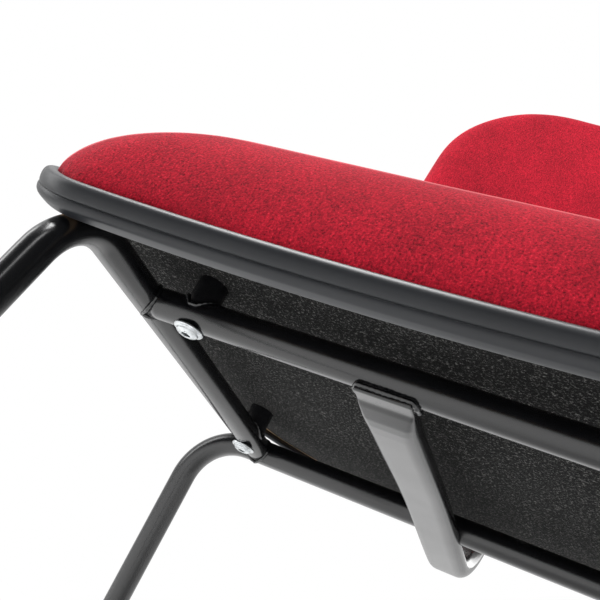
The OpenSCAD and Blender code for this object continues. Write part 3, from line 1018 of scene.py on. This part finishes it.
def puff(obj, cap, padded_side):
    """Swells a padded piece as its foam swells the cloth over it, up to a cap, and smooths it."""
    remesh = obj.modifiers.new("remesh", "REMESH")
    remesh.mode = "VOXEL"
    remesh.voxel_size = PUFF_VOXEL
    remesh.use_smooth_shade = True
    bpy.context.view_layer.objects.active = obj
    obj.select_set(True)
    bpy.ops.object.modifier_apply(modifier="remesh")
    before = [v.co.copy() for v in obj.data.vertices]
    steps = []
    for a, b in zip(before, swollen_places(obj)):
        step = b - a
        step -= padded_side * min(step.dot(padded_side), 0)
        if step.length > cap:
            step = step.normalized() * cap
        steps.append(step)
    steps = spread(obj.data, steps, SPREAD_ROUNDS)
    for v, a, step in zip(obj.data.vertices, before, steps):
        v.co = a + Vector(step)
    smooth = obj.modifiers.new("smooth", "SMOOTH")
    smooth.factor = 0.5
    smooth.iterations = SMOOTH_ROUNDS
    bpy.ops.object.modifier_apply(modifier="smooth")
    subdivide = obj.modifiers.new("subdivide", "SUBSURF")
    subdivide.levels = 1
    subdivide.render_levels = 1
    bpy.ops.object.modifier_apply(modifier="subdivide")
    for poly in obj.data.polygons:
        poly.use_smooth = True


seat_cloth()
seat_band()
cushion = seat_cushion()
puff(cushion, 2 * MM, Vector((0, 0, 1)))
place(cushion, "red_fabric", "seat_cover", "seat_foam")


# ---------- the back ----------


def back_outline(grow, count=200):
    """The back's edge in its own frame: (across, up) pairs as vectors, moved outward."""
    top = BACK_MID_UP + BACK_H / 2 - BACK_TOP_R
    low = BACK_MID_UP - BACK_H / 2 + BACK_LOW_R
    flat = math.radians(2)
    tx, lx = BACK_X - BACK_TOP_R, BACK_X - BACK_LOW_R
    points = arc_points(tx, top, BACK_TOP_R + grow, 0, QUARTER - flat)
    points += arc_points(-tx, top, BACK_TOP_R + grow, QUARTER + flat, 2 * QUARTER)
    points += arc_points(-lx, low, BACK_LOW_R + grow, 2 * QUARTER, 3 * QUARTER - flat)
    points += arc_points(lx, low, BACK_LOW_R + grow, 3 * QUARTER + flat, FULL)
    return evenly(points, count)


def back_surface(x, depth):
    """Rearward place of the curved board at a distance behind its rear face."""
    return BOARD_REAR - BACK_CURVE_R + math.sqrt((BACK_CURVE_R + depth) ** 2 - x**2)


def on_back(p, depth):
    return upright(p.x, back_surface(p.x, depth), p.y)


BACK_CENTRE = Vector((0, BACK_MID_UP, 0))
# The padding's thickness over the board, at the middle of the back
BACK_PAD = 43 * MM


def back_crown(p):
    """How far forward of the board's rear face the pad's crown is, less so at its edges."""
    far = (p - BACK_CENTRE).length / BACK_X
    return BOARD_T + BACK_PAD - 4 * MM * far**2


def back_cushion():
    """The padded back: its sides roll in from the band to a crown that follows the board."""
    rows, reach, grow = 12, 30 * MM, 3 * MM
    low = BOARD_T - SINK
    rings = []
    for i in range(rows + 1):
        a = QUARTER * i / rows
        ring = back_outline(grow - reach * (1 - math.cos(a)))
        rings.append([on_back(p, -low - (back_crown(p) - low) * math.sin(a)) for p in ring])
    for share in CROWN_SHARES:
        ring = shrunk(back_outline(grow - reach), share, BACK_CENTRE)
        rings.append([on_back(p, -back_crown(p)) for p in ring])
    bottom = []
    for share in BOTTOM_SHARES:
        ring = shrunk(back_outline(grow), share, BACK_CENTRE)
        bottom.append([on_back(p, -low) for p in ring])
    verts, faces = bridge(bottom + rings)
    return new_object("back_cushion", verts, faces, FABRIC)


# The back band's section: (outward from the board's edge, rearward of its rear face), in mm
BACK_BAND_SECTION = [
    (-2.5, -8.6), (0.6, -8.9), (2.0, -8.2), (2.6, -6.6), (2.5, -4.8), (1.6, -3.7),
    (1.4, -3.3), (1.9, -2.8), (2.6, -1.4), (2.5, 0.8), (1.6, 2.3), (-0.6, 3.0),
    (-4.0, 3.1), (-5.0, 2.4), (-4.6, 0.6), (-0.3, 0.2), (-0.3, -8.0),
]


def back_band():
    outline = back_outline(0, 280)
    section = smooth_loop(BACK_BAND_SECTION, 1)
    rings = []
    for p, out in zip(outline, outward_directions(outline)):
        rings.append([on_back(p + out * (u * MM), d * MM) for u, d in section])
    verts, faces = bridge(rings, close_path=True)
    obj = new_object("back_edge_band_moulding", verts, faces, RUBBER)
    return place(obj, "edge_rubber", "back_edge_band")


def back_panel():
    """The moulded skin over the back board's rear face, with a soft raised rim."""
    edge = back_outline(-5 * MM)
    rim = [(1.0, 0.4), (0.997, 1.6), (0.985, 2.3), (0.96, 2.3), (0.945, 1.8)]
    field = [(share, 1.7) for share in (0.85, 0.7, 0.5, 0.3, 0.1)]
    rings = []
    for share, depth in rim + field:
        rings.append([on_back(p, depth * MM) for p in shrunk(edge, share, BACK_CENTRE)])
    verts, faces = bridge(rings, cap_start=False)
    obj = new_object("back_skin", verts, faces, REAR_PLASTIC)
    return place(obj, "rear_plastic", "back_rear_panel")


def rounded_rectangle(half_w, half_h, r, count):
    points = []
    for k, (sx, sy) in enumerate(CORNERS):
        a0 = k * QUARTER
        points += arc_points(sx * (half_w - r), sy * (half_h - r), r, a0, a0 + QUARTER, 8)
    return evenly(points, count)


def bracket_plate():
    """The curved plate behind the board, its rear edge broken, and its two weld beads."""
    edge = rounded_rectangle(PLATE_W / 2, PLATE_H / 2, PLATE_CORNER_R, 120)
    middle_up = Vector((0, PLATE_UP, 0))
    sides = [(1.0, 0.2 * MM), (1.0, PLATE_T - 0.5 * MM)]
    rear = [(share, PLATE_T) for share in (0.992, 0.9, 0.6, 0.3, 0.05)]
    rings = []
    for share, depth in sides + rear:
        rings.append([on_back(middle_up + p * share, depth) for p in edge])
    verts, faces = bridge(rings, cap_start=False)
    obj = new_object("bracket", verts, faces, PAINT)
    place(sharpen(obj, 40), "frame_paint", "back_bracket_plate")
    reach = PLATE_H / 2 - 6 * MM
    for side in (-1, 1):
        label = "left" if side < 0 else "right"
        x = side * 8.5 * MM
        rearward = back_surface(x, PLATE_T + 0.4 * MM)
        ends = [upright(x, rearward, PLATE_UP + level * reach) for level in (-1, 1)]
        bead("bracket_weld_" + label, straight(*ends), 1.8 * MM, False, 31 + side)


def back_bolts():
    parts = []
    lean = Matrix.Rotation(-BACK_TILT, 4, "X")
    for side in (-1, 1):
        for level in (-1, 1):
            x = side * BACK_BOLT_DX
            spot = upright(x, back_surface(x, PLATE_T + 0.1 * MM), PLATE_UP + level * BACK_BOLT_DV)
            turn = Matrix.Translation(spot) @ lean @ Matrix.Rotation(QUARTER, 4, "X")
            profile = bolt_profile(BACK_BOLT_R, BACK_SOCKET_R)
            parts.append(lathe("back_bolt", profile, turn, ZINC, 60, SOCKET_RING))
    obj = join(parts, "back_bolt_heads")
    return place(sharpen(obj, 28), "zinc", "back_bolts")


def spine_plug():
    """A shallow domed oval cap on the upright's end."""
    lip = [(1, -0.5), (0.4, -0.4), (0.1, 0.3), (0.4, 1.2)]
    dome = [(1.6, 1.9), (4, 2.2), (6.5, 2.3)]
    rings = []
    for inset, up in lip + dome:
        half_t = SPINE_HALF_T - inset * MM
        ring = oval(SPINE_HALF_W - inset * MM, half_t, half_t)
        rings.append([upright(x, y, SPINE_UP + up * MM) for x, y in ring])
    verts, faces = bridge(rings)
    obj = new_object("support_tube_plug", verts, faces, BLACK_PLASTIC)
    return place(obj, "black_plastic", "spine_end_plug")


pad = back_cushion()
puff(pad, 3 * MM, upright(0, -1, 0) - upright(0, 0, 0))
place(pad, "red_fabric", "back_cover", "back_foam")
back_band()
back_panel()
bracket_plate()
back_bolts()
spine_plug()


# ---------- feet ----------

GLIDE_R, GLIDE_LEN = 12 * MM, 30 * MM
GLIDE_SIDES = 48
# The glide's grooves: how far each starts from its upper end, and how deep it is
GROOVES = (6 * MM, 11 * MM)
GROOVE_DEPTH = 0.7 * MM


def glide_profile():
    """The foot's outline from its upper end down: (radius, distance along the leg's end)."""
    top = -GLIDE_LEN
    profile = [
        (TUBE_R + 0.2 * MM, top), (GLIDE_R - 1.2 * MM, top - 0.2 * MM),
        (GLIDE_R - 0.3 * MM, top + 0.8 * MM), (GLIDE_R, top + 2 * MM),
    ]
    for start in GROOVES:
        profile += [
            (GLIDE_R, top + start), (GLIDE_R - GROOVE_DEPTH, top + start + 0.6 * MM),
            (GLIDE_R - GROOVE_DEPTH, top + start + 2 * MM), (GLIDE_R, top + start + 2.6 * MM),
        ]
    return profile + [(GLIDE_R, 20 * MM)]


def glide(node, axis):
    """A ribbed plastic foot, round along the leg and cut level with the floor."""
    side = -1 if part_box(node)[0].x < 0 else 1
    down = Vector((side * axis.x, axis.y, axis.z))
    if "front" in node:
        start = Vector((side * RAIL_X, CROSS_Y - FRONT_LEAD, FRAME_Z))
        end = leg_points(start, Vector((0, -1, 0)), down, FRONT_BEND_R)[1]
    else:
        start = Vector((side * REAR_LEAD, REAR_Y, FRAME_Z))
        end = leg_points(start, Vector((side, 0, 0)), down, REAR_BEND_R)[1]
    u = down.cross(Vector((0, 0, 1))).normalized()
    v = down.cross(u)
    rings = []
    for r, along in glide_profile():
        ring = []
        for i in range(GLIDE_SIDES):
            a = FULL * i / GLIDE_SIDES
            offset = u * (r * math.cos(a)) + v * (r * math.sin(a))
            p = end + down * along + offset
            if p.z < 0:
                p = p - down * (p.z / down.z)
            ring.append(p)
        rings.append(ring)
    verts, faces = bridge(rings)
    obj = new_object(node + "_foot", verts, faces, BLACK_PLASTIC)
    return place(sharpen(obj, 40), "black_plastic", node)


for glide_node in ("front_left_glide", "front_right_glide"):
    glide(glide_node, FRONT_DIR)
for glide_node in ("rear_left_glide", "rear_right_glide"):
    glide(glide_node, REAR_DIR)


# ---------- studio ----------


def floor():
    """A pale floor whose colour fades to plain white away from the chair."""
    mat, nodes, links, shader, coords = material("studio_floor")
    clouds = noise(nodes, links, coords, scale=3, detail=2)
    tone = ramp(nodes, links, clouds, [(0.3, grey(0.86)), (0.7, grey(0.89))])
    distance = nodes.new("ShaderNodeVectorMath")
    distance.operation = "LENGTH"
    links.new(coords, distance.inputs[0])
    far = nodes.new("ShaderNodeMapRange")
    set_inputs(far, {"From Min": 0.9, "From Max": 4.0})
    links.new(distance.outputs["Value"], far.inputs["Value"])
    near = ramp(nodes, links, far.outputs["Result"], [(0.0, grey(1.0)), (1.0, grey(0.0))])
    colour = blend_colours(nodes, links, tone, near, 1.0, "MULTIPLY")
    links.new(colour, shader.inputs["Base Color"])
    glow = ramp(nodes, links, far.outputs["Result"], [(0.0, grey(0.3)), (1.0, grey(1.0))])
    links.new(glow, shader.inputs["Emission Strength"])
    set_inputs(shader, {"Roughness": 0.7, "Specular IOR Level": 0.1})
    set_inputs(shader, {"Emission Color": (1, 1, 1, 1)})
    reach = 12.0
    corners = [Vector((x * reach, y * reach, 0)) for x, y in ((-1, -1), (1, -1), (1, 1), (-1, 1))]
    new_object("studio_floor_sheet", corners, [(0, 1, 2, 3)], mat)


# The way the camera looks, and so the middle of the white backdrop
BACKDROP = Vector((-0.42432, 0.81944, 0.38531))


def world():
    """White behind the chair and overhead, dim on the camera's side, as in a photo studio."""
    w = bpy.data.worlds.new("studio")
    bpy.context.scene.world = w
    w.use_nodes = True
    nodes, links = w.node_tree.nodes, w.node_tree.links
    nodes.clear()
    out = nodes.new("ShaderNodeOutputWorld")
    seen = nodes.new("ShaderNodeBackground")
    set_inputs(seen, {"Color": (1, 1, 1, 1), "Strength": 1.0})
    lit = nodes.new("ShaderNodeBackground")
    set_inputs(lit, {"Strength": 1.0})
    coords = nodes.new("ShaderNodeTexCoord")
    facing = nodes.new("ShaderNodeVectorMath")
    facing.operation = "DOT_PRODUCT"
    facing.inputs[1].default_value = BACKDROP
    links.new(coords.outputs["Generated"], facing.inputs[0])
    halved = nodes.new("ShaderNodeMapRange")
    halved.inputs["From Min"].default_value = -1
    links.new(facing.outputs["Value"], halved.inputs["Value"])
    tone = ramp(
        nodes, links, halved.outputs["Result"],
        [(0.0, grey(0.05)), (0.42, grey(0.07)), (0.62, grey(0.55)), (0.8, grey(0.85))],
    )
    links.new(tone, lit.inputs["Color"])
    mix = nodes.new("ShaderNodeMixShader")
    path = nodes.new("ShaderNodeLightPath")
    links.new(path.outputs["Is Camera Ray"], mix.inputs["Fac"])
    links.new(lit.outputs["Background"], mix.inputs[1])
    links.new(seen.outputs["Background"], mix.inputs[2])
    links.new(mix.outputs["Shader"], out.inputs["Surface"])


def area_light(name, position, target, size, power):
    data = bpy.data.lights.new(name, "AREA")
    data.shape = "RECTANGLE"
    data.size, data.size_y = size
    data.energy = power
    obj = bpy.data.objects.new(name, data)
    bpy.context.scene.collection.objects.link(obj)
    obj.location = position
    obj.rotation_euler = (target - position).to_track_quat("-Z", "Y").to_euler()
    return obj


def camera():
    """A low close view up under the seat's front left corner, turned a little on its side."""
    right = Vector((0.86599, 0.24288, 0.43712))
    down = Vector((0.26461, 0.51915, -0.81269))
    look = right.cross(down)
    spot = Vector((135.7 * MM, CROSS_Y - 389.6 * MM, FRAME_Z - 156.25 * MM))
    data = bpy.data.cameras.new("camera")
    data.sensor_width = 36
    data.lens = 53.85
    data.clip_start = 0.01
    obj = bpy.data.objects.new("camera", data)
    bpy.context.scene.collection.objects.link(obj)
    rotation = Matrix((right, -down, -look)).transposed().to_4x4()
    obj.matrix_world = Matrix.Translation(spot) @ rotation
    bpy.context.scene.camera = obj


floor()
world()
camera()
AIM = Vector((0, 0, FRAME_Z))
area_light("overhead", Vector((-0.62, -0.5, 2.0)), AIM, (1.3, 1.0), 55)
area_light("side", Vector((-1.7, -0.5, 0.9)), AIM, (0.5, 1.2), 7)
area_light("strip", Vector((0.05, -1.8, 1.5)), AIM, (0.34, 0.9), 4.5)
area_light("front", Vector((0.9, -1.9, 0.35)), AIM, (0.5, 0.5), 1.5)
area_light("rear", Vector((0.6, 1.7, 1.5)), AIM, (1.2, 1.0), 12)
bpy.context.scene.view_settings.view_transform = "Standard"
